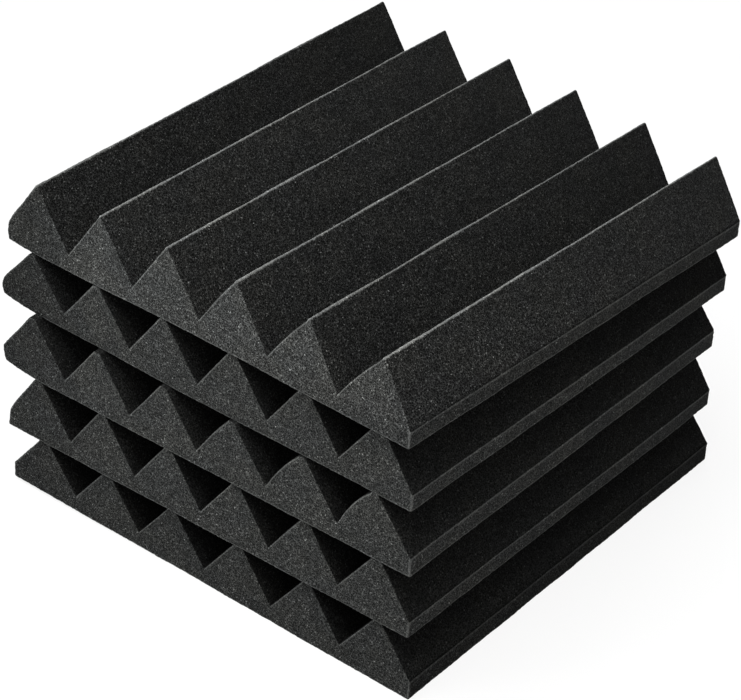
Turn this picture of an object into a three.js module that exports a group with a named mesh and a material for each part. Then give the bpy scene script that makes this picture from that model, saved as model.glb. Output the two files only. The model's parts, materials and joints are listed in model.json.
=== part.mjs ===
// A stack of five square acoustic foam tiles, each one block of open-cell foam with six straight
// triangular ridges over a flat base. Millimetres, +Z up. The origin is the middle of the flat
// underside of the lowest tile, X runs across the ridges and Y along them.
import * as THREE from "three";

// One tile
const side = 304.8; // a 12 inch tile, measured across the ridges and along them
const thickness = 45; // flat underside to the top of a free crest
const baseThickness = 11.1; // flat underside to the floor of a groove
const ridgeCount = 6;
const crestRadius = 1; // the cutting wire leaves a free crest slightly round
const grooveRadius = 0.8; // and the floor of a groove too
const roundSteps = 8; // straight pieces in one rounded corner

// The stack
const pressed = 2.5; // how far the tiles above press a crest down
const pressedRadius = 0.8; // rounding at each side of a flattened crest
const seatGap = 0.3; // between a flattened crest and the underside that rests on it
const farthestStray = 4.2; // the worst placed tile lies this far off the lowest one
const farthestTurn = THREE.MathUtils.degToRad(2); // and the worst turned one is this far round

// How each tile was laid by hand, from the lowest up: shares of the farthest stray across and
// along the ridges, and of the farthest turn.
const laidShares = [
  { across: 0, along: 0, turn: 0 },
  { across: -0.5, along: -0.55, turn: 0.1 },
  { across: -1, along: -1, turn: 0 },
  { across: -0.85, along: -0.3, turn: -0.45 },
  { across: -0.1, along: -0.55, turn: -1 },
];

// Sizes that follow from those
const ridgePitch = side / ridgeCount;
const halfRidge = ridgePitch / 2;
const pressedThickness = thickness - pressed;
const layerHeight = pressedThickness + seatGap; // from one tile's underside to the next one's

// A ridge's flank is the line from the foot of the ridge that touches the crest's round.
const roundCentre = thickness - baseThickness - crestRadius;
const flankAngle =
  Math.atan2(roundCentre, halfRidge) +
  Math.asin(crestRadius / Math.hypot(roundCentre, halfRidge));
const flankSlope = Math.tan(flankAngle);

// Turns a list of corners, each { at, radius }, into outline points, with an arc in place of each
// corner that has a radius. A round never takes more than half of a side next to it.
function roundedOutline(corners) {
  return corners.flatMap(({ at, radius }, index) => {
    if (!radius) return [at];
    const before = corners.at(index - 1).at;
    const after = corners[(index + 1) % corners.length].at;
    const toBefore = before.clone().sub(at);
    const toAfter = after.clone().sub(at);
    const shortest = Math.min(toBefore.length(), toAfter.length());
    toBefore.normalize();
    toAfter.normalize();
    const halfAngle = Math.acos(toBefore.dot(toAfter)) / 2;
    const setBack = Math.min(radius / Math.tan(halfAngle), shortest / 2);
    const arcRadius = setBack * Math.tan(halfAngle);
    const centre = toBefore
      .clone()
      .add(toAfter)
      .setLength(arcRadius / Math.sin(halfAngle))
      .add(at);
    const start = toBefore.multiplyScalar(setBack).add(at).sub(centre);
    const end = toAfter.multiplyScalar(setBack).add(at).sub(centre);
    const sweep = Math.atan2(start.cross(end), start.dot(end));
    const origin = new THREE.Vector2();
    return Array.from({ length: roundSteps + 1 }, (_, step) =>
      start
        .clone()
        .rotateAround(origin, (sweep * step) / roundSteps)
        .add(centre),
    );
  });
}

// The crest of the ridge whose middle is at x: one rounded point where it is free, and a flat
// with two rounded edges where a tile lies on it.
function crest(x, carriesTile) {
  if (!carriesTile) {
    const point = baseThickness + halfRidge * flankSlope;
    return [{ at: new THREE.Vector2(x, point), radius: crestRadius }];
  }
  const halfFlat = halfRidge - (pressedThickness - baseThickness) / flankSlope;
  return [-halfFlat, halfFlat].map((offset) => ({
    at: new THREE.Vector2(x + offset, pressedThickness),
    radius: pressedRadius,
  }));
}

// The outline of a tile's cut end, in X and height: up the left side, over the ridges and back
// along the underside.
function endOutline(carriesTile) {
  const left = -side / 2;
  const right = side / 2;
  const corners = [
    { at: new THREE.Vector2(left, 0) },
    { at: new THREE.Vector2(left, baseThickness) },
  ];
  for (let ridge = 0; ridge < ridgeCount; ridge++) {
    const foot = left + ridge * ridgePitch;
    if (ridge > 0)
      corners.push({
        at: new THREE.Vector2(foot, baseThickness),
        radius: grooveRadius,
      });
    corners.push(...crest(foot + halfRidge, carriesTile));
  }
  corners.push(
    { at: new THREE.Vector2(right, baseThickness) },
    { at: new THREE.Vector2(right, 0) },
  );
  return roundedOutline(corners);
}

// The end outline drawn out along the ridges, centred on the tile's middle, standing on z = 0.
function tileGeometry(carriesTile) {
  const outline = endOutline(carriesTile).reverse();
  return new THREE.ExtrudeGeometry(new THREE.Shape(outline), {
    depth: side,
    bevelEnabled: false,
  })
    .translate(0, 0, -side / 2)
    .rotateX(Math.PI / 2);
}

function charcoalFoam() {
  return new THREE.MeshStandardMaterial({
    color: 0x37363a,
    roughness: 0.95,
    metalness: 0,
  });
}

const stack = new THREE.Group();
laidShares.forEach(({ across, along, turn }, layer) => {
  const carriesTile = layer < laidShares.length - 1;
  const tile = new THREE.Mesh(tileGeometry(carriesTile), charcoalFoam());
  tile.name = `panel_${layer + 1}`;
  tile.position.set(
    across * farthestStray,
    along * farthestStray,
    layer * layerHeight,
  );
  tile.rotation.z = turn * farthestTurn;
  stack.add(tile);
});

export default stack;
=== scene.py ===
# %% [markdown]
# # A loose stack of five acoustic foam tiles
# Each tile is one block of charcoal open-cell foam. A wire cuts six straight ridges into its upper
# side, and a saw cuts its four edges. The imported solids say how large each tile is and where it
# lies. This lesson models the foam itself: its soft edges, its wavering cuts and its open cells.

# %% Load the fixed frame
import json
from math import atan2, cos, hypot, radians, sin, tan

import bmesh
import bpy
import numpy as np
from mathutils import Matrix, Vector

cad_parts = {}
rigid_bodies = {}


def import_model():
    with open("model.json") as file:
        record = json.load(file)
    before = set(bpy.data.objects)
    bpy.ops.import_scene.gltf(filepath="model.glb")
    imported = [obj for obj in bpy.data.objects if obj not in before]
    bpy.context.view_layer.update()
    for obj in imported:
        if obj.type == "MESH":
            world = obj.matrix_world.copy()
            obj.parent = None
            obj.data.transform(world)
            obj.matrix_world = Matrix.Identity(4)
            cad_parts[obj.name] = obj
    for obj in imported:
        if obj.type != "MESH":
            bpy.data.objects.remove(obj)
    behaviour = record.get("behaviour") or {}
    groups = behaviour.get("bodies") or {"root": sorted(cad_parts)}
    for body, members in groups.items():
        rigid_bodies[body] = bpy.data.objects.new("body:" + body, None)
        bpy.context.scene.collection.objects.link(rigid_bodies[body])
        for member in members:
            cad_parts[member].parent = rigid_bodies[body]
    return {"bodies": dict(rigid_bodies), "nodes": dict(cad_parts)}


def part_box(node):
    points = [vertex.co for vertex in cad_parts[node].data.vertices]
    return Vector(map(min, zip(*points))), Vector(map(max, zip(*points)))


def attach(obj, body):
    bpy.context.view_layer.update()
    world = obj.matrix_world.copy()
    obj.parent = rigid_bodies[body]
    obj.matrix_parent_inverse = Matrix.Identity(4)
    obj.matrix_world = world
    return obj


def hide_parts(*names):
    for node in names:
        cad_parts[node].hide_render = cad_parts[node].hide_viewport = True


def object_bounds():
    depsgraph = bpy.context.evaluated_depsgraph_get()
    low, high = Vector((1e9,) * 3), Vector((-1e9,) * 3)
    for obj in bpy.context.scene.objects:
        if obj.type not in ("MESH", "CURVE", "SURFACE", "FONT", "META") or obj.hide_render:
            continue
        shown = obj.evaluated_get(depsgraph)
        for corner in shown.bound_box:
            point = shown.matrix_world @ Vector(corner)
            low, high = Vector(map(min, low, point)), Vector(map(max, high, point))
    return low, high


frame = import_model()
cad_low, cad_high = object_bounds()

print("the solids fill", [round(1000 * size, 1) for size in cad_high - cad_low], "mm")

# %% [markdown]
# ## Where each tile lies
# The tiles were stacked by hand, so each is shifted and turned a little. A solid's underside has
# four corners, and their middle and front edge give the tile's place and turn. Reading them from
# the solids keeps the foam exactly where the solids are.

# %% Read the tiles' places from the solids
MM = 0.001
RIDGES = 6
TILES = sorted(frame["bodies"])
HAIR = 0.01 * MM


def solid_points(tile):
    """All corners of a tile's solid."""
    return np.array([tuple(vertex.co) for vertex in frame["nodes"][tile].data.vertices])


def tile_place(tile):
    """The middle of a tile's underside, and its turn about the vertical."""
    points = solid_points(tile)
    feet = points[points[:, 2] < points[:, 2].min() + HAIR]
    middle = (feet.min(axis=0) + feet.max(axis=0)) / 2
    front_left = feet[np.argmin(feet[:, 0] + feet[:, 1])]
    front_right = feet[np.argmax(feet[:, 0] - feet[:, 1])]
    across = front_right - front_left
    return Vector(middle), atan2(across[1], across[0])


lying = {tile: tile_place(tile) for tile in TILES}
for tile, (middle, turn) in lying.items():
    print(tile, [round(1000 * v, 1) for v in middle], "turned", round(turn / radians(1), 2))

# %% [markdown]
# ## The sizes of a tile
# The lowest tile lies square, so its box gives the side. A tile's height differs with its place:
# the crests of the four lower tiles are pressed flat by the tiles above, and the top one's are
# free. The flank of a ridge is the line from its foot that touches the round of a free crest.

# %% Sizes of a tile
BASE = 11.1 * MM
CREST_ROUND = 1.0 * MM
PRESSED_ROUND = 0.8 * MM
GROOVE_ROUND = 0.4 * MM
SAWN_ROUND = 0.55 * MM


def height_of(tile):
    low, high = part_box(tile)
    return high.z - low.z


side = (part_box(TILES[0])[1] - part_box(TILES[0])[0]).x
half_side = side / 2
half_ridge = half_side / RIDGES
free_height = height_of(TILES[-1])
pressed_height = height_of(TILES[0])

round_centre = free_height - BASE - CREST_ROUND
flank = atan2(round_centre, half_ridge)
flank += np.arcsin(CREST_ROUND / hypot(round_centre, half_ridge))
peak = half_ridge * tan(flank)
print("side", round(side / MM, 1), "flank", round(flank / radians(1), 1), "degrees")

# %% [markdown]
# ## Selecting by place
# Edit-mode operators act on what is selected. Modelling by hand, one clicks on edges; here a small
# helper selects those for which a test on their place is true, and drops everything else.

# %% Helpers for edit mode


def start_alone():
    """Leaves edit mode and selects nothing, so that an operator can't reach older objects."""
    if bpy.context.object and bpy.context.object.mode != "OBJECT":
        bpy.ops.object.mode_set(mode="OBJECT")
    bpy.ops.object.select_all(action="DESELECT")


def apply_modifier(piece, modifier):
    start_alone()
    piece.select_set(True)
    bpy.context.view_layer.objects.active = piece
    bpy.ops.object.modifier_apply(modifier=modifier.name)


def pick_edges(piece, test):
    """Selects the edges whose two ends pass the test, and nothing else."""
    bpy.ops.mesh.select_mode(type="EDGE")
    bpy.ops.mesh.select_all(action="DESELECT")
    shape = bmesh.from_edit_mesh(piece.data)
    picked = [edge for edge in shape.edges if test(edge, edge.verts[0].co, edge.verts[1].co)]
    for edge in picked:
        edge.select_set(True)
    bmesh.update_edit_mesh(piece.data)
    return len(picked)


def runs_along(a, b):
    """True for an edge along the ridges."""
    return abs(a.x - b.x) < HAIR and abs(a.z - b.z) < HAIR


def at_height(a, b, z):
    return abs(a.z - z) < HAIR and abs(b.z - z) < HAIR


# %% [markdown]
# ## A tile as a folded sheet
# The top of a tile could be cut from a block with a boolean for each groove. Folding is simpler
# and gives cleaner faces: a flat grid gets two strips for each ridge, every second line is lifted
# to the ridge's peak, and bevels round the crests and the floors of the grooves.

# %% Fold the ridges


def fold_ridges(name):
    """A sheet with sharp ridges, standing on the height of the groove floors."""
    start_alone()
    bpy.ops.mesh.primitive_grid_add(x_subdivisions=2 * RIDGES, y_subdivisions=1, size=side)
    sheet = bpy.context.object
    sheet.name = sheet.data.name = name
    bpy.ops.object.mode_set(mode="EDIT")
    bpy.ops.mesh.select_all(action="SELECT")
    bpy.ops.transform.translate(value=(0, 0, BASE))

    def on_crest_line(edge, a, b):
        line = round((a.x + half_side) / half_ridge)
        return runs_along(a, b) and line % 2 == 1

    pick_edges(sheet, on_crest_line)
    bpy.ops.transform.translate(value=(0, 0, peak))
    return sheet


def round_free_crests(sheet):
    pick_edges(sheet, lambda edge, a, b: at_height(a, b, BASE + peak))
    set_back = CREST_ROUND * tan(flank)
    bpy.ops.mesh.bevel(offset=set_back, segments=6, clamp_overlap=False)


def flatten_pressed_crests(sheet):
    pick_edges(sheet, lambda edge, a, b: at_height(a, b, BASE + peak))
    cut_off = (BASE + peak - pressed_height) / sin(flank)
    bpy.ops.mesh.bevel(offset=cut_off, segments=1, clamp_overlap=False)
    pick_edges(sheet, lambda edge, a, b: runs_along(a, b) and at_height(a, b, pressed_height))
    set_back = PRESSED_ROUND * tan(flank / 2)
    bpy.ops.mesh.bevel(offset=set_back, segments=3, clamp_overlap=False)


def round_grooves(sheet):
    def on_groove_line(edge, a, b):
        return runs_along(a, b) and at_height(a, b, BASE) and not edge.is_boundary

    pick_edges(sheet, on_groove_line)
    set_back = GROOVE_ROUND * tan(flank)
    bpy.ops.mesh.bevel(offset=set_back, segments=3)


# %% [markdown]
# ## The sawn edges and the underside
# The rim of the sheet is drawn down to the floor, which makes the two zigzag ends and the two low
# sides, and one face closes the underside. Foam has no knife-sharp edge, so the whole rim gets a
# narrow bevel while it still has few faces.

# %% Close the block
SHARP = radians(75)


def draw_down_walls(sheet):
    pick_edges(sheet, lambda edge, a, b: edge.is_boundary)
    bpy.ops.mesh.extrude_edges_move(TRANSFORM_OT_translate={"value": (0, 0, -BASE)})
    bpy.ops.transform.resize(value=(1, 1, 0), center_override=(0, 0, 0))
    pick_edges(sheet, lambda edge, a, b: edge.is_boundary and at_height(a, b, 0))
    bpy.ops.mesh.edge_face_add()


def round_sawn_edges(sheet):
    def is_sharp(edge, a, b):
        return edge.is_manifold and edge.calc_face_angle() > SHARP

    pick_edges(sheet, is_sharp)
    bpy.ops.mesh.bevel(offset=SAWN_ROUND, segments=2, clamp_overlap=False)


# %% [markdown]
# ## Faces small enough to sculpt
# A wavering cut needs vertices to move. Long edges are subdivided in three directions, along the
# ridges, up the flanks and down the walls, so the faces stay square and the bevels stay narrow.

# %% Subdivide in three directions
ROUNDS_ALONG = 2
CUTS_ALONG = 12
CUTS_UP_FLANK = 27
CUTS_DOWN_WALL = 15
LONG = 5 * MM


def subdivide_tile(sheet):
    for _ in range(ROUNDS_ALONG):
        pick_edges(sheet, lambda edge, a, b: runs_along(a, b) and edge.calc_length() > LONG)
        bpy.ops.mesh.subdivide(number_cuts=CUTS_ALONG)
    pick_edges(sheet, lambda edge, a, b: abs(a.x - b.x) > LONG)
    bpy.ops.mesh.subdivide(number_cuts=CUTS_UP_FLANK)
    pick_edges(sheet, lambda edge, a, b: abs(a.z - b.z) > LONG)
    bpy.ops.mesh.subdivide(number_cuts=CUTS_DOWN_WALL)


def model_tile(name, shape_crests):
    sheet = fold_ridges(name)
    shape_crests(sheet)
    round_grooves(sheet)
    draw_down_walls(sheet)
    round_sawn_edges(sheet)
    subdivide_tile(sheet)
    bpy.ops.mesh.select_all(action="SELECT")
    bpy.ops.mesh.normals_make_consistent(inside=False)
    bpy.ops.object.mode_set(mode="OBJECT")
    bpy.ops.object.shade_smooth()
    print(name, len(sheet.data.polygons), "faces")
    return sheet


free_tile = model_tile("free_tile", round_free_crests)
pressed_tile = model_tile("pressed_tile", flatten_pressed_crests)


# %% [markdown]
# ## Marking the edges
# Most outer edges carry a thin pale line: partly cut strands that stand out there and are paler,
# and partly a painted highlight, where a rounded edge would catch the light from the left. Only the
# right slope of a ridge, which faces away from that light, has none at the tile's cut end. The
# material can't know where an edge is, so each vertex stores how far it lies from the nearest such
# edge and from its ridge's crest, and whether a saw or the profile wire cut the face it is on. The
# crest's line sits a little left of the crest, where the light falls, as painted highlight. In the
# photo the crests' line narrows towards the back, and the cells look closer and more even there and
# on the slopes of the pressed tiles. At the back that is probably the lens and not the foam, but
# this camera has no blur, so the foam follows it.

# %% Store distances on the vertices
FAR = 50 * MM
CREST_NARROWS = 0.8 * MM
# The crest's pale line lies this far left of the crest, towards the light: painted highlight.
LINE_TOWARDS_LIGHT = 0.4 * MM
CLOSER_BACK = 0.5
PRESSED_CLOSER = (0.35, 0.05)


def vertex_places(piece):
    places = np.empty(len(piece.data.vertices) * 3)
    piece.data.vertices.foreach_get("co", places)
    return places.reshape(-1, 3)


def store(piece, name, values):
    attribute = piece.data.attributes.new(name, "FLOAT", "POINT")
    attribute.data.foreach_set("value", np.ascontiguousarray(values, dtype=np.float32))


def from_crest(x):
    """How far right of the nearest crest line each x lies, negative on the left."""
    return (x + half_side) % (2 * half_ridge) - half_ridge


def mark_edges(piece, closer_slopes=0, closer_sawn=0):
    x, y, z = vertex_places(piece).T
    right_of_crest = from_crest(x)
    across = abs(right_of_crest)
    roof = BASE + peak * (1 - across / half_ridge)
    to_roof = (roof - z) * cos(flank)
    to_end, to_side = half_side - abs(y), half_side - abs(x)
    # The cut end's edge on each ridge's left slope gets a pale line: paler strands and painted
    # highlight.
    to_lit_slope_edge = np.where(right_of_crest < 0, np.maximum(to_end, to_roof), FAR)
    corners = [(to_end, to_side), (to_end, z), (to_side, z), (to_side, to_roof)]
    to_corners = [np.maximum(*planes) for planes in corners]
    store(piece, "edge_distance", np.min([to_lit_slope_edge, *to_corners], axis=0))
    # The crest's line is centred left of the crest, where the light falls: painted highlight.
    lit_crest_line = np.hypot(right_of_crest + LINE_TOWARDS_LIGHT, free_height - z)
    to_back = (half_side + y) / side
    store(piece, "crest_distance", lit_crest_line + CREST_NARROWS * to_back)
    sawn = to_roof > np.min([to_end, to_side, z], axis=0) + HAIR
    store(piece, "sawn", sawn)
    closer = np.where(sawn, closer_sawn, closer_slopes)
    store(piece, "closeness", closer + (CLOSER_BACK - closer) * to_back**2)


mark_edges(free_tile)
mark_edges(pressed_tile, *PRESSED_CLOSER)

# %% [markdown]
# ## Soft tiles sag
# Foam gives way under its own weight and keeps the twist that it was packed with. In the photo the
# top tile droops at its front left corner and curls up at the back left, and the tiles below are
# a little out of square. A lattice is a cage of points round a mesh that pulls the mesh along. Each
# tile's cage has three columns across, two rows and two levels, and its points move by a few
# millimetres, judged one by one. A tile's crests follow the underside that lies on them.

# %% Cages
COLUMNS = 3
ROWS = ("front", "back")
LEVELS = ("foot", "crest")
STILL = (0, 0, 0)

# Millimetres at the left, in the middle and at the right of a row of the cage: up, to the right
# and to the back.
LIFTS = {
    "panel_1": {"front foot": (2.5, 0, 0), "front crest": (-1, -1, -1), "back crest": (0, 0, -1.5)},
    "panel_2": {
        "front foot": (-1, -1, -1),
        "front crest": (0.5, 0, 0.5),
        "back foot": (0, 0, -1.5),
    },
    "panel_3": {
        "front foot": (0.5, 0, 0.5),
        "front crest": (0.5, -1, 1.6),
        "back crest": (0, 0, -1),
    },
    "panel_4": {
        "front foot": (0.5, -1, 1.6),
        "front crest": (-4, 0, 1.4),
        "back foot": (0, 0, -1),
        "back crest": (2.5, 1, -1),
    },
    "panel_5": {
        "front foot": (-4, 0, 1.4),
        "front crest": (-2.3, 3.3, -1.6),
        "back foot": (4.5, 2, -1),
        "back crest": (7, 3.8, -5.5),
    },
}
SLIDES = {
    "panel_1": {"front foot": (0, 0, 1)},
    "panel_2": {"front foot": (0, 0, -1.3)},
    "panel_3": {"front foot": (0, 0, 1.5)},
    "panel_4": {"front foot": (-4, -0.5, 1.5), "front crest": (-3, -2, 1)},
}
PUSHES = {
    "panel_1": {"front foot": (0, 0, -2.5)},
    "panel_4": {"front foot": (0, 0, -1)},
    "panel_5": {"front foot": (0, 0, -1.5)},
}


def pull(cage, tile, row, level, size):
    """Moves the three points of one row of a cage."""
    corner = f"{ROWS[row]} {LEVELS[level]}"
    moves = [table.get(tile, {}).get(corner, STILL) for table in (SLIDES, PUSHES, LIFTS)]
    first = COLUMNS * (row + len(ROWS) * level)
    for column in range(COLUMNS):
        shift = [moves[axis][column] * MM / size[axis] for axis in range(len(size))]
        cage.data.points[first + column].co_deform += Vector(shift)


def sag(piece, tile):
    """Bends a tile, while it still lies square on the origin, with its own cage."""
    size = piece.dimensions.copy()
    start_alone()
    bpy.ops.object.add(type="LATTICE", location=(0, 0, size.z / 2))
    cage = bpy.context.object
    cage.scale = size
    cage.data.points_u, cage.data.points_v, cage.data.points_w = COLUMNS, len(ROWS), len(LEVELS)
    for axis in "uvw":
        setattr(cage.data, f"interpolation_type_{axis}", "KEY_LINEAR")
    for row in range(len(ROWS)):
        for level in range(len(LEVELS)):
            pull(cage, tile, row, level, size)
    bend = piece.modifiers.new("sag", "LATTICE")
    bend.object = cage
    bpy.context.view_layer.update()
    apply_modifier(piece, bend)
    bpy.data.objects.remove(cage)


# %% [markdown]
# ## Wandering cuts and worn ends
# The saw wandered at the ends of some tiles: towards the right of the two top tiles both cuts lean
# back. The left slopes of two tiles' right ridges bulge. The left ends of some tiles are rubbed
# round at the foot or the shoulder and curl up, and some bases came out thicker on the right. All
# of it is slight, so the vertices are moved by plain sums, as a sculpting brush would.

# %% Lean, rub, curl, thicken and bulge
LEAN_START = -50 * MM
RUB_REACH = 14 * MM
CURL_REACH = 35 * MM
CREST_REACH = 3 * MM
GROOVE_SHARE = 1 / 6

# Millimetres for each tile.
LEANS = {"panel_4": 2, "panel_5": 7}
FOOT_RUBS = {"panel_3": 3, "panel_4": 3, "panel_5": 2}
SHOULDER_RUBS = {"panel_2": 1.5, "panel_3": 1, "panel_4": 2, "panel_5": 2}
LEFT_CURLS = {"panel_3": 3, "panel_4": 3, "panel_5": 2}
THICKER_BASES = {"panel_1": 2, "panel_3": 1.5, "panel_5": 1}
BULGES = {"panel_3": 4, "panel_5": 1.5}


def fading(distance, reach, power=1):
    """1 at no distance, 0 at the reach and farther."""
    return np.clip(1 - distance / reach, 0, 1) ** power


def wander(piece, tile):
    """Moves the vertices of a tile while it still lies square on the origin."""
    places = vertex_places(piece)
    x, _, z = places.T.copy()
    from_left, from_right = half_side + x, half_side - x
    up_ridge = fading(free_height - z, free_height - BASE)
    lean = fading(from_right, half_side - LEAN_START, power=1.5) * up_ridge
    rub = FOOT_RUBS.get(tile, 0) * fading(z, BASE, power=2)
    rub += SHOULDER_RUBS.get(tile, 0) * fading(abs(z - BASE), RUB_REACH, power=2)
    curl = fading(from_left, CURL_REACH, power=2) * fading(z, free_height)
    thicker = fading(from_right, half_ridge) * np.minimum(z / BASE, 1)
    down_slope = np.clip((-from_crest(x) - CREST_REACH) / (half_ridge - CREST_REACH), 0, 1)
    bulge = 4 * down_slope * (1 - down_slope) * np.minimum(up_ridge / GROOVE_SHARE, 1)
    bulge *= fading(from_right, half_side, power=0.5)

    lift = LEFT_CURLS.get(tile, 0) * curl + THICKER_BASES.get(tile, 0) * thicker
    lift += BULGES.get(tile, 0) * bulge
    places[:, 0] += MM * rub * fading(from_left, RUB_REACH)
    places[:, 1] += MM * LEANS.get(tile, 0) * lean
    places[:, 2] += MM * lift
    piece.data.vertices.foreach_set("co", places.ravel())


# %% [markdown]
# ## Each tile's own irregularities
# No two tiles are cut alike. After its copy is made, a tile gets its own slow waver from the saw
# and the wire, and a fine roughness where cells are cut open. Both are Displace modifiers with
# procedural noise, applied at once, so the shape is in the mesh.

# %% Waver and roughness
WAVER = (45 * MM, 0.9 * MM)
ROUGHNESS = (1.9 * MM, 0.5 * MM)


def displace(piece, title, grain, depth):
    noise = bpy.data.textures.new(title, "CLOUDS")
    noise.noise_scale = grain
    noise.noise_depth = 1
    push = piece.modifiers.new(title, "DISPLACE")
    push.texture = noise
    push.texture_coords = "LOCAL"
    push.strength = depth
    push.mid_level = 0.5
    apply_modifier(piece, push)
    bpy.data.textures.remove(noise)


# Tone factors for each tile: all over, on its low right side and on its outermost flank, and how
# much darker it is at the left and at the right of its cut ends. They were set until the render's
# mean tones came close to the photo's. The darker low right side, the lighter outermost flank and
# the darker left and right of the cut ends are painted shade and painted light. The factor all over
# is partly the tile's own tone and partly painted light and shade, so they say little about the
# real foam's colour.
TILE_TONES_AND_PAINTED_LIGHT = {
    "panel_1": (0.82, 0.52, 1.0, 0.2, 0),
    "panel_2": (0.96, 0.85, 1.0, 0.25, 0),
    "panel_3": (1.03, 0.88, 1.0, 0.35, 0),
    "panel_4": (0.97, 0.95, 1.0, 0.45, 0),
    "panel_5": (1.25, 0.68, 1.25, 0.45, 0.25),
}
# A tone factor for the slopes of each of the top tile's ridges, from the left.
RIDGE_TONES = (0.83, 1.17, 1.13, 1.08, 0.97, 1.02)
SHADED_LEFT = (22 * MM, 72 * MM)
SHADED_RIGHT = 120 * MM


def tone_and_painted_light(piece, tile):
    """Stores the tile's tone factors with their painted light and shade, while it still lies square
    on the origin.
    """
    overall, side_shade, outer_flank_light, left, right = TILE_TONES_AND_PAINTED_LIGHT[tile]
    x, y, _ = vertex_places(piece).T
    on_cut_end = abs(y) > half_side - HAIR
    start, end = SHADED_LEFT
    # Painted shade: the cut ends get darker towards their left and right.
    shade = left * fading(half_side + x - start, end - start)
    shade += right * fading(half_side - x, SHADED_RIGHT)
    # Painted light on the top tile's outermost flank and painted shade on each tile's low right
    # side.
    on_last_flank = (x > half_side - half_ridge) & ~on_cut_end
    local = np.where(x > half_side - HAIR, side_shade, np.where(on_last_flank, outer_flank_light, 1))
    if tile == TILES[-1]:
        ridge = np.clip((half_side + x) / (2 * half_ridge), 0, RIDGES - 1).astype(int)
        on_slope = ~on_cut_end & (abs(x) < half_side - HAIR)
        local = local * np.where(on_slope, np.array(RIDGE_TONES)[ridge], 1)
    store(piece, "tone_and_painted_light", overall * local * (1 - shade * on_cut_end))


def keep_above_floor(piece):
    places = vertex_places(piece)
    places[:, 2] = np.maximum(places[:, 2], 0)
    piece.data.vertices.foreach_set("co", places.ravel())


def lay_tile(tile):
    """A tile's foam, copied from its model, laid where its solid lies."""
    model = free_tile if tile == TILES[-1] else pressed_tile
    foam = model.copy()
    foam.data = model.data.copy()
    foam.name = foam.data.name = f"foam_{tile}"
    bpy.context.collection.objects.link(foam)
    tone_and_painted_light(foam, tile)
    wander(foam, tile)
    sag(foam, tile)
    middle, turn = lying[tile]
    foam.data.transform(Matrix.Translation(middle) @ Matrix.Rotation(turn, 4, "Z"))
    displace(foam, "waver", *WAVER)
    displace(foam, "roughness", *ROUGHNESS)
    keep_above_floor(foam)
    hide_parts(tile)
    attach(foam, tile)
    return foam


foams = [lay_tile(tile) for tile in TILES]
for model in (free_tile, pressed_tile):
    bpy.data.objects.remove(model)
print("laid", [foam.name for foam in foams])

# %% [markdown]
# ## Shader maths in plain sums
# A material is a network of nodes, and sums are hard to read as boxes and links. A small class
# wraps one output, so that Python's own signs add the Math nodes.

# %% Wires and nodes


class Wire:
    """One output of a node. Sums and products of wires add Math nodes."""

    def __init__(self, maker, socket):
        self.maker = maker
        self.socket = socket

    def __add__(self, other):
        return self.maker.maths("ADD", self, other)

    def __sub__(self, other):
        return self.maker.maths("SUBTRACT", self, other)

    def __rsub__(self, other):
        return self.maker.maths("SUBTRACT", other, self)

    def __mul__(self, other):
        return self.maker.maths("MULTIPLY", self, other)

    def __pow__(self, other):
        return self.maker.maths("POWER", self, other)

    def __rpow__(self, other):
        return self.maker.maths("POWER", other, self)

    __radd__ = __add__
    __rmul__ = __mul__

    def fade(self, start, end):
        """1 at start and nearer, 0 at end and farther, smooth between them."""
        ends = {"Value": self, "From Min": start, "From Max": end, "To Min": 1, "To Max": 0}
        return self.maker.node("ShaderNodeMapRange", {"interpolation_type": "SMOOTHSTEP"}, ends)


class Maker:
    """Adds nodes to one material's tree."""

    def __init__(self, tree):
        self.tree = tree
        tree.nodes.clear()

    def node(self, kind, settings=None, inputs=None, output=0):
        made = self.tree.nodes.new(kind)
        for name, value in (settings or {}).items():
            setattr(made, name, value)
        for key, value in (inputs or {}).items():
            if isinstance(value, Wire):
                self.tree.links.new(value.socket, made.inputs[key])
            else:
                made.inputs[key].default_value = value
        return Wire(self, made.outputs[output]) if made.outputs else None

    def maths(self, operation, first, second):
        return self.node("ShaderNodeMath", {"operation": operation}, {0: first, 1: second})

    def attribute(self, name):
        return self.node("ShaderNodeAttribute", {"attribute_name": name}, output="Fac")

    def mixed_colour(self, factor, first, second):
        """From the first colour at 0 to the second at 1."""
        settings = {"data_type": "VECTOR"}
        return self.node("ShaderNodeMix", settings, {0: factor, 4: first, 5: second}, output=1)

    def vector_maths(self, operation, first, second):
        """Two colours or places, channel by channel."""
        settings = {"operation": operation}
        return self.node("ShaderNodeVectorMath", settings, {0: first, 1: second})

    def scaled_colour(self, colour, amount):
        """A colour times a number that varies over the surface."""
        settings = {"operation": "SCALE"}
        return self.node("ShaderNodeVectorMath", settings, {0: colour, "Scale": amount})


def new_material(title):
    material = bpy.data.materials.new(title)
    material.use_nodes = True
    return material, Maker(material.node_tree)


# %% [markdown]
# ## Charcoal open-cell foam
# Cut foam shows strands of dyed polyurethane round dark open cells, one to two millimetres wide. A
# Voronoi pattern's distance to the nearest border gives the strands. Smaller cells give single
# strand ends a tone of their own, and a few of them get a painted glint: a pale spot in the colour,
# with a lower roughness. A power of the sum spreads it from black holes to bright strands. The
# cells drift with a slow noise, because straight rows of them would show as bands on a flat face. A
# saw tears the cells, so a sawn face looks pale. The profile wire leaves a closer, much darker
# face. Its crests are pale again, partly torn open and partly painted highlight, and so are the
# edges' lines.

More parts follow.
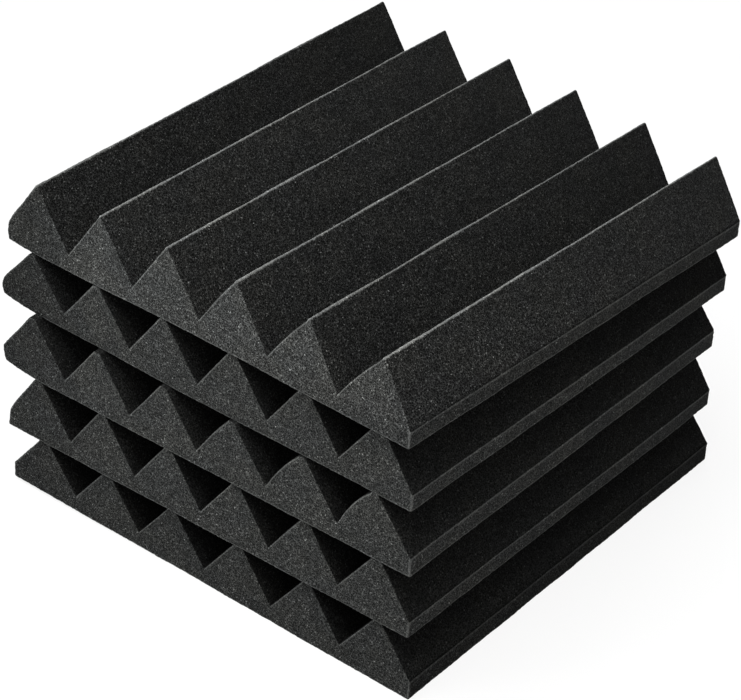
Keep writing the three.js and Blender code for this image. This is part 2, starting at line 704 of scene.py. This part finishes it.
# %% The foam material
WEB = 1.5 * MM
CELL = 1.2 * MM
STRAND = 0.6 * MM
DRIFT = 7 * MM
DRIFTED = 2.5 * MM
CLUMP = 4 * MM
PATCH = 26 * MM
CHARCOAL = (0.0535, 0.0546, 0.054)
OLIVE = (1.005, 1.0, 0.975)
BLUE = (0.99, 1.0, 1.005)
TINT_CHANGE = (0.35, 0.65)
WEB_EDGE = (0, 0.2)
KNOT_EDGE = (0.1, 0.55)
DARKEST = 0.152
SPREAD = 16
MIDDLING = 0.63
WIRE_SHARE = 0.2
WIRE_SPREAD = 0.15
# The pale lines on the edges and crests are partly paler torn strands and partly painted highlight.
EDGE_LINE = (0.5 * MM, 1.3 * MM)
CREST_LINE = (0.9 * MM, 1.9 * MM)
UNEVEN = 1.4 * MM
FRAY_AND_HIGHLIGHT_SHARE = 0.5
FRAYED_AND_LIT_TONE = 1.2
EDGE_PALE_AND_LIT = 1.1
CREST_PALE_AND_LIT = 0.8
BUMP_STRENGTH = 0.6
BUMP_DEPTH = 0.3 * MM
SHINE = 0.4
SPECULAR = 0.03


def foam_material():
    material, make = new_material("charcoal_foam")
    place = make.node("ShaderNodeTexCoord", output="Object")

    def noise(size, detail=2, output="Fac"):
        inputs = {"Vector": place, "Scale": 1 / size, "Detail": detail}
        return make.node("ShaderNodeTexNoise", None, inputs, output=output)

    push = make.vector_maths("SUBTRACT", noise(DRIFT, 1, "Color"), (0.5, 0.5, 0.5))
    drifted = make.vector_maths("ADD", place, make.scaled_colour(push, DRIFTED))

    def cells(size, output, feature="F1"):
        inputs = {"Vector": drifted, "Scale": 1 / size}
        return make.node("ShaderNodeTexVoronoi", {"feature": feature}, inputs, output=output)

    def random_of(cell_colour, channel):
        return make.node("ShaderNodeSeparateColor", None, {"Color": cell_colour}, output=channel)

    web = cells(WEB, "Distance", "DISTANCE_TO_EDGE").fade(*WEB_EDGE)
    cell_tone = cells(CELL, "Color")
    knot = cells(CELL, "Distance").fade(*KNOT_EDGE)
    strand_tone = random_of(cells(STRAND, "Color"), "Green")
    # Painted glint: a few pale spots in the colour, where the roughness is lower too.
    painted_glint = random_of(cell_tone, "Blue") ** 4 * knot
    grain = 0.5 * web + 0.35 * random_of(cell_tone, "Red") + 0.25 * strand_tone
    grain = grain + 0.15 * knot + 0.5 * painted_glint
    mottle = (0.8 + 0.4 * noise(PATCH)) * (0.85 + 0.3 * noise(CLUMP))

    # Pale lines on the edges and crests: partly paler torn strands, partly painted highlight. The
    # crest counts as sawn here.
    edge = make.attribute("edge_distance").fade(*EDGE_LINE)
    uneven = UNEVEN * (noise(CLUMP) - 0.5)
    crest = (make.attribute("crest_distance") + uneven).fade(*CREST_LINE)
    sawn = make.maths("MAXIMUM", make.attribute("sawn"), crest)
    wire_cut = 1 - sawn

    spread = grain * (1 + WIRE_SPREAD * wire_cut)
    evened = make.attribute("closeness") * (grain - MIDDLING)
    tone = DARKEST * SPREAD ** (spread - evened)
    # Painted highlight, with paler strands, along the edges and crests.
    frayed_and_lit = make.maths("MAXIMUM", edge * sawn, crest)
    tone = tone + frayed_and_lit * FRAY_AND_HIGHLIGHT_SHARE * (FRAYED_AND_LIT_TONE - tone)
    tone = tone * mottle * (WIRE_SHARE + (1 - WIRE_SHARE) * sawn)
    tone = tone * (1 + EDGE_PALE_AND_LIT * edge * sawn) * (1 + CREST_PALE_AND_LIT * crest)
    # The tile's tone factor, which carries painted shade at the left and right of the cut ends and
    # on the low right side, and painted light on the outermost flank.
    tone = tone * make.attribute("tone_and_painted_light")
    tint = make.mixed_colour(noise(PATCH).fade(*TINT_CHANGE), OLIVE, BLUE)
    colour = make.scaled_colour(make.vector_maths("MULTIPLY", CHARCOAL, tint), tone)

    bump_inputs = {"Strength": BUMP_STRENGTH, "Distance": BUMP_DEPTH, "Height": grain}
    bump = make.node("ShaderNodeBump", None, bump_inputs)
    shader_inputs = {
        "Base Color": colour,
        "Roughness": 1 - SHINE * painted_glint,
        "Normal": bump,
        "Specular IOR Level": SPECULAR,
    }
    surface = make.node("ShaderNodeBsdfPrincipled", None, shader_inputs)
    make.node("ShaderNodeOutputMaterial", None, {"Surface": surface})
    return material


foam_finish = foam_material()
for foam in foams:
    foam.data.materials.clear()
    foam.data.materials.append(foam_finish)
print("nodes in the foam material", len(foam_finish.node_tree.nodes))

# %% [markdown]
# ## Floor and background
# The photograph has a plain white background. The floor and the world look white to the camera
# through the Light Path node, while the light that they send to the foam stays at a studio level,
# and part of the floor's look stays diffuse near the stack, so that it keeps the stack's shadow.
# That part fades out farther off, so that no horizon shows at low angles.

# %% Floor and world
FLOOR_SIZE = 8.0
FLOOR_GREY = 0.4
WHITENED = 0.85
SHADOWED = (0.35, 0.9)
AMBIENT = 0.23


def seen_directly(make):
    """1 for rays that show the background: from the camera, a mirror or glass."""
    total = 0
    for ray in ("Is Camera Ray", "Is Glossy Ray", "Is Transmission Ray"):
        total = make.node("ShaderNodeLightPath", output=ray) + total
    return make.maths("MINIMUM", total, 1)


def white_floor():
    start_alone()
    bpy.ops.mesh.primitive_plane_add(size=FLOOR_SIZE)
    floor = bpy.context.object
    floor.name = "studio_floor"
    material, make = new_material("white_floor")
    seen = seen_directly(make)
    brightness = FLOOR_GREY + (1 - FLOOR_GREY) * seen
    colour = make.scaled_colour((1, 1, 1), brightness)
    matte = make.node("ShaderNodeBsdfDiffuse", None, {"Color": colour})
    glow = make.node("ShaderNodeEmission", None, {"Strength": 1.0})
    place = make.node("ShaderNodeTexCoord", output="Object")
    away = make.node("ShaderNodeVectorMath", {"operation": "LENGTH"}, {0: place}, output="Value")
    whitened = 1 - (1 - WHITENED) * away.fade(*SHADOWED)
    mixed = make.node("ShaderNodeMixShader", None, {0: seen * whitened, 1: matte, 2: glow})
    make.node("ShaderNodeOutputMaterial", None, {"Surface": mixed})
    floor.data.materials.append(material)


def white_world():
    world = bpy.data.worlds.new("studio")
    world.use_nodes = True
    make = Maker(world.node_tree)
    strength = AMBIENT + (1 - AMBIENT) * seen_directly(make)
    light = make.node("ShaderNodeBackground", None, {"Color": (1, 1, 1, 1), "Strength": strength})
    make.node("ShaderNodeOutputWorld", None, {"Surface": light})
    bpy.context.scene.world = world


white_floor()
white_world()

# %% [markdown]
# ## Studio lamps
# The cut ends that face the camera's left are the brightest faces, the flanks that face right are
# dim, and no face is burnt out. A large, slightly cool lamp in front on the left and one overhead
# give that, with a weak and slightly warm one on the right. A weak one behind keeps the back of
# the stack from going black, and lights nothing that the photo shows. Their angles and shares were
# set against the photo's tones. A lamp's power is worked out from its distance, so that a
# pale card facing it would render at the brightness that the share says.

# %% Lamps
MIDDLE = (cad_low + cad_high) / 2
COOL = (0.97, 1.0, 0.99)
WHITE = (1, 1, 1)
WARM = (1.0, 0.98, 0.93)

# Azimuth and elevation in degrees, distance and size in metres, share and colour.
LAMPS = {
    "key_lamp": (-40, 37, 1.0, 0.7, 0.63, COOL),
    "top_lamp": (0, 77, 1.2, 0.8, 0.94, WHITE),
    "fill_lamp": (42, 42, 0.85, 0.7, 0.27, WARM),
    "back_lamp": (205, 22, 1.3, 0.8, 0.35, WHITE),
}


def toward(azimuth, elevation):
    """The direction from the object to a viewer at these angles, in degrees."""
    a, e = radians(azimuth), radians(elevation)
    return Vector((sin(a) * cos(e), -cos(a) * cos(e), sin(e)))


def soft_lamp(title, azimuth, elevation, distance, size, share, colour):
    lamp = bpy.data.lights.new(title, "AREA")
    lamp.color = colour
    lamp.size = size
    lamp.energy = share * (np.pi * distance) ** 2
    holder = bpy.data.objects.new(title, lamp)
    out = toward(azimuth, elevation)
    holder.location = MIDDLE + out * distance
    holder.rotation_euler = out.to_track_quat("Z", "Y").to_euler()
    bpy.context.scene.collection.objects.link(holder)


for title, lamp in LAMPS.items():
    soft_lamp(title, *lamp)
print("lamps", list(LAMPS))

# %% [markdown]
# ## Camera
# The photograph looks down at the near corner, with the camera rolled slightly. Its place was
# found by fitting the corners and grooves of the solids to the picture.

# %% Camera
PICTURE_WIDTH = 741
FOCAL_PIXELS = 2900
SENSOR = 36.0
AZIMUTH = 36.48
ELEVATION = 33.85
ROLL = radians(3.43)
DISTANCE = 1726.2 * MM
AIM_HEIGHT = 127 * MM
AIM_LEFT = 3.15 * MM
AIM_DOWN = 31.7 * MM


def place_camera():
    back = toward(AZIMUTH, ELEVATION)
    level_right = toward(AZIMUTH + 90, 0)
    level_up = back.cross(level_right)
    right = level_right * cos(ROLL) + level_up * sin(ROLL)
    up = level_up * cos(ROLL) - level_right * sin(ROLL)
    aim = Vector((0, 0, AIM_HEIGHT)) - AIM_LEFT * right - AIM_DOWN * up
    lens = bpy.data.cameras.new("camera")
    lens.sensor_fit = "HORIZONTAL"
    lens.sensor_width = SENSOR
    lens.lens = FOCAL_PIXELS / PICTURE_WIDTH * SENSOR
    holder = bpy.data.objects.new("camera", lens)
    turned = Matrix((right, up, back)).transposed().to_4x4()
    holder.matrix_world = Matrix.Translation(aim + back * DISTANCE) @ turned
    bpy.context.scene.collection.objects.link(holder)
    bpy.context.scene.camera = holder


place_camera()
bpy.context.scene.view_settings.view_transform = "Standard"
